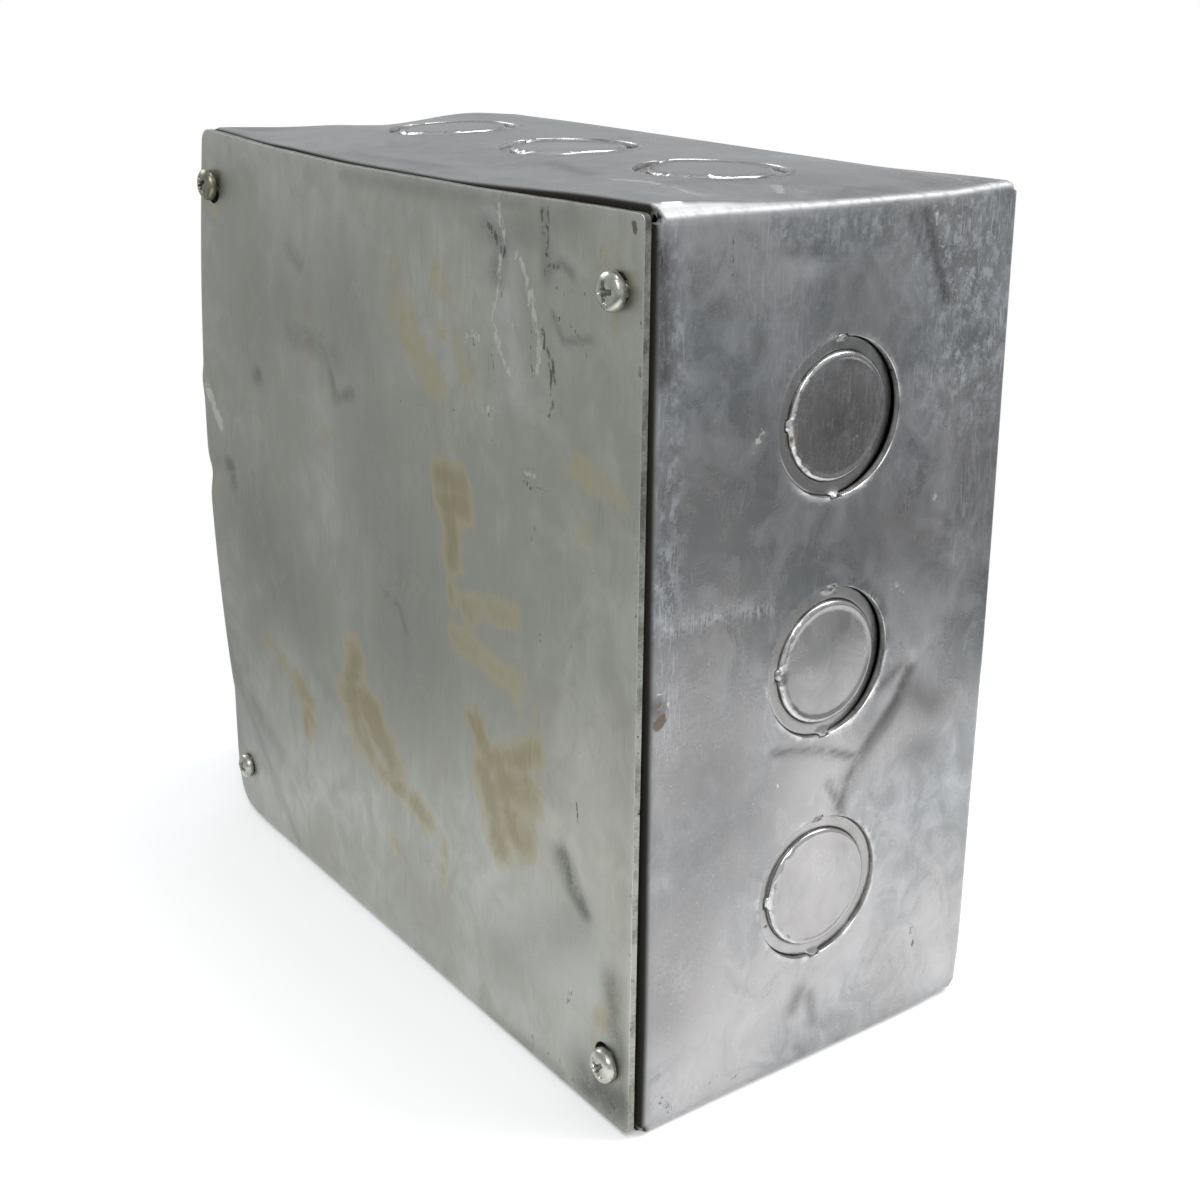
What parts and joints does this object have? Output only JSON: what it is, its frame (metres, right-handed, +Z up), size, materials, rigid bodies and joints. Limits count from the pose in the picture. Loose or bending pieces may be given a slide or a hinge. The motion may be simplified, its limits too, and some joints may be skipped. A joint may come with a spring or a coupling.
{
  "type": "electrical junction box",
  "caption": "Square galvanised sheet-steel pull box with a flat screw-on cover, return flanges, a welded back plate and concentric knockouts in every wall.",
  "frame": {"origin": "centre of the bounding box's bottom face, where the box stands on its bottom wall", "axes": "+Z up, +X right as one faces the cover, +Y towards the back plate; the cover faces -Y"},
  "size_m": [0.2032, 0.1047, 0.2032],
  "materials": {
    "galvanised_steel": "aged galvanised sheet",
    "cover_steel": "aged galvanised sheet, stained",
    "zinc_screw": "bright zinc plate",
    "green_screw": "green dyed zinc"
  },
  "bodies": {
    "box": {"box_wrapper": "galvanised_steel", "back_plate": "galvanised_steel"},
    "ground_screw": {"ground_screw": "green_screw"},
    "cover": {"cover": "cover_steel"},
    "cover_screw_top_left": {"cover_screw_top_left": "zinc_screw"},
    "cover_screw_top_right": {"cover_screw_top_right": "zinc_screw"},
    "cover_screw_bottom_left": {"cover_screw_bottom_left": "zinc_screw"},
    "cover_screw_bottom_right": {"cover_screw_bottom_right": "zinc_screw"},
    "top_knockout_1_ring": {"top_knockout_1_ring": "galvanised_steel"},
    "top_knockout_1_slug": {"top_knockout_1_slug": "galvanised_steel"},
    "top_knockout_2_ring": {"top_knockout_2_ring": "galvanised_steel"},
    "top_knockout_2_slug": {"top_knockout_2_slug": "galvanised_steel"},
    "top_knockout_3_ring": {"top_knockout_3_ring": "galvanised_steel"},
    "top_knockout_3_slug": {"top_knockout_3_slug": "galvanised_steel"},
    "right_knockout_1_ring": {"right_knockout_1_ring": "galvanised_steel"},
    "right_knockout_1_slug": {"right_knockout_1_slug": "galvanised_steel"},
    "right_knockout_2_ring": {"right_knockout_2_ring": "galvanised_steel"},
    "right_knockout_2_slug": {"right_knockout_2_slug": "galvanised_steel"},
    "right_knockout_3_ring": {"right_knockout_3_ring": "galvanised_steel"},
    "right_knockout_3_slug": {"right_knockout_3_slug": "galvanised_steel"},
    "bottom_knockout_1_ring": {"bottom_knockout_1_ring": "galvanised_steel"},
    "bottom_knockout_1_slug": {"bottom_knockout_1_slug": "galvanised_steel"},
    "bottom_knockout_2_ring": {"bottom_knockout_2_ring": "galvanised_steel"},
    "bottom_knockout_2_slug": {"bottom_knockout_2_slug": "galvanised_steel"},
    "bottom_knockout_3_ring": {"bottom_knockout_3_ring": "galvanised_steel"},
    "bottom_knockout_3_slug": {"bottom_knockout_3_slug": "galvanised_steel"},
    "left_knockout_1_ring": {"left_knockout_1_ring": "galvanised_steel"},
    "left_knockout_1_slug": {"left_knockout_1_slug": "galvanised_steel"},
    "left_knockout_2_ring": {"left_knockout_2_ring": "galvanised_steel"},
    "left_knockout_2_slug": {"left_knockout_2_slug": "galvanised_steel"},
    "left_knockout_3_ring": {"left_knockout_3_ring": "galvanised_steel"},
    "left_knockout_3_slug": {"left_knockout_3_slug": "galvanised_steel"}
  },
  "joints": [
    {"name": "cover_lift_off", "type": "slide", "parent": "box", "child": "cover", "axis": [0, -1, 0], "range_m": [0, 0.08]},
    {"name": "cover_screw_top_left_turn", "type": "hinge", "parent": "cover", "child": "cover_screw_top_left", "pos_m": [-0.093, -0.04938, 0.1881], "axis": [0, -1, 0], "continuous": true},
    {"name": "cover_screw_top_right_turn", "type": "hinge", "parent": "cover", "child": "cover_screw_top_right", "pos_m": [0.093, -0.04938, 0.1881], "axis": [0, -1, 0], "continuous": true},
    {"name": "cover_screw_bottom_left_turn", "type": "hinge", "parent": "cover", "child": "cover_screw_bottom_left", "pos_m": [-0.093, -0.04938, 0.0151], "axis": [0, -1, 0], "continuous": true},
    {"name": "cover_screw_bottom_right_turn", "type": "hinge", "parent": "cover", "child": "cover_screw_bottom_right", "pos_m": [0.093, -0.04938, 0.0151], "axis": [0, -1, 0], "continuous": true},
    {"name": "ground_screw_turn", "type": "hinge", "parent": "box", "child": "ground_screw", "pos_m": [0.045, 0.0437, 0.06], "axis": [0, -1, 0], "continuous": true},
    {"name": "top_knockout_1_ring_bend_in", "type": "hinge", "parent": "box", "child": "top_knockout_1_ring", "pos_m": [-0.0732, 0.00252, 0.2008], "axis": [0, 1, 0], "range_deg": [0, 40]},
    {"name": "top_knockout_1_slug_bend_in", "type": "hinge", "parent": "top_knockout_1_ring", "child": "top_knockout_1_slug", "pos_m": [-0.0559, -0.01172, 0.2015], "axis": [-1, 0, 0], "range_deg": [0, 40]},
    {"name": "top_knockout_2_ring_bend_in", "type": "hinge", "parent": "box", "child": "top_knockout_2_ring", "pos_m": [-0.0173, 0.00252, 0.2008], "axis": [0, 1, 0], "range_deg": [0, 40]},
    {"name": "top_knockout_2_slug_bend_in", "type": "hinge", "parent": "top_knockout_2_ring", "child": "top_knockout_2_slug", "pos_m": [0, -0.01172, 0.2015], "axis": [-1, 0, 0], "range_deg": [0, 40]},
    {"name": "top_knockout_3_ring_bend_in", "type": "hinge", "parent": "box", "child": "top_knockout_3_ring", "pos_m": [0.0386, 0.00252, 0.2008], "axis": [0, 1, 0], "range_deg": [0, 40]},
    {"name": "top_knockout_3_slug_bend_in", "type": "hinge", "parent": "top_knockout_3_ring", "child": "top_knockout_3_slug", "pos_m": [0.0559, -0.01172, 0.2015], "axis": [-1, 0, 0], "range_deg": [0, 40]},
    {"name": "right_knockout_1_ring_bend_in", "type": "hinge", "parent": "box", "child": "right_knockout_1_ring", "pos_m": [0.0992, 0.00252, 0.1748], "axis": [0, 1, 0], "range_deg": [0, 40]},
    {"name": "right_knockout_1_slug_bend_in", "type": "hinge", "parent": "right_knockout_1_ring", "child": "right_knockout_1_slug", "pos_m": [0.0999, -0.01172, 0.1575], "axis": [0, 0, 1], "range_deg": [0, 40]},
    {"name": "right_knockout_2_ring_bend_in", "type": "hinge", "parent": "box", "child": "right_knockout_2_ring", "pos_m": [0.0992, 0.00252, 0.1189], "axis": [0, 1, 0], "range_deg": [0, 40]},
    {"name": "right_knockout_2_slug_bend_in", "type": "hinge", "parent": "right_knockout_2_ring", "child": "right_knockout_2_slug", "pos_m": [0.0999, -0.01172, 0.1016], "axis": [0, 0, 1], "range_deg": [0, 40]},
    {"name": "right_knockout_3_ring_bend_in", "type": "hinge", "parent": "box", "child": "right_knockout_3_ring", "pos_m": [0.0992, 0.00252, 0.063], "axis": [0, 1, 0], "range_deg": [0, 40]},
    {"name": "right_knockout_3_slug_bend_in", "type": "hinge", "parent": "right_knockout_3_ring", "child": "right_knockout_3_slug", "pos_m": [0.0999, -0.01172, 0.0457], "axis": [0, 0, 1], "range_deg": [0, 40]},
    {"name": "bottom_knockout_1_ring_bend_in", "type": "hinge", "parent": "box", "child": "bottom_knockout_1_ring", "pos_m": [0.0732, 0.00252, 0.0024], "axis": [0, 1, 0], "range_deg": [0, 40]},
    {"name": "bottom_knockout_1_slug_bend_in", "type": "hinge", "parent": "bottom_knockout_1_ring", "child": "bottom_knockout_1_slug", "pos_m": [0.0559, -0.01172, 0.0017], "axis": [1, 0, 0], "range_deg": [0, 40]},
    {"name": "bottom_knockout_2_ring_bend_in", "type": "hinge", "parent": "box", "child": "bottom_knockout_2_ring", "pos_m": [0.0173, 0.00252, 0.0024], "axis": [0, 1, 0], "range_deg": [0, 40]},
    {"name": "bottom_knockout_2_slug_bend_in", "type": "hinge", "parent": "bottom_knockout_2_ring", "child": "bottom_knockout_2_slug", "pos_m": [0, -0.01172, 0.0017], "axis": [1, 0, 0], "range_deg": [0, 40]},
    {"name": "bottom_knockout_3_ring_bend_in", "type": "hinge", "parent": "box", "child": "bottom_knockout_3_ring", "pos_m": [-0.0386, 0.00252, 0.0024], "axis": [0, 1, 0], "range_deg": [0, 40]},
    {"name": "bottom_knockout_3_slug_bend_in", "type": "hinge", "parent": "bottom_knockout_3_ring", "child": "bottom_knockout_3_slug", "pos_m": [-0.0559, -0.01172, 0.0017], "axis": [1, 0, 0], "range_deg": [0, 40]},
    {"name": "left_knockout_1_ring_bend_in", "type": "hinge", "parent": "box", "child": "left_knockout_1_ring", "pos_m": [-0.0992, 0.00252, 0.0284], "axis": [0, 1, 0], "range_deg": [0, 40]},
    {"name": "left_knockout_1_slug_bend_in", "type": "hinge", "parent": "left_knockout_1_ring", "child": "left_knockout_1_slug", "pos_m": [-0.0999, -0.01172, 0.0457], "axis": [0, 0, -1], "range_deg": [0, 40]},
    {"name": "left_knockout_2_ring_bend_in", "type": "hinge", "parent": "box", "child": "left_knockout_2_ring", "pos_m": [-0.0992, 0.00252, 0.0843], "axis": [0, 1, 0], "range_deg": [0, 40]},
    {"name": "left_knockout_2_slug_bend_in", "type": "hinge", "parent": "left_knockout_2_ring", "child": "left_knockout_2_slug", "pos_m": [-0.0999, -0.01172, 0.1016], "axis": [0, 0, -1], "range_deg": [0, 40]},
    {"name": "left_knockout_3_ring_bend_in", "type": "hinge", "parent": "box", "child": "left_knockout_3_ring", "pos_m": [-0.0992, 0.00252, 0.1402], "axis": [0, 1, 0], "range_deg": [0, 40]},
    {"name": "left_knockout_3_slug_bend_in", "type": "hinge", "parent": "left_knockout_3_ring", "child": "left_knockout_3_slug", "pos_m": [-0.0999, -0.01172, 0.1575], "axis": [0, 0, -1], "range_deg": [0, 40]}
  ]
}
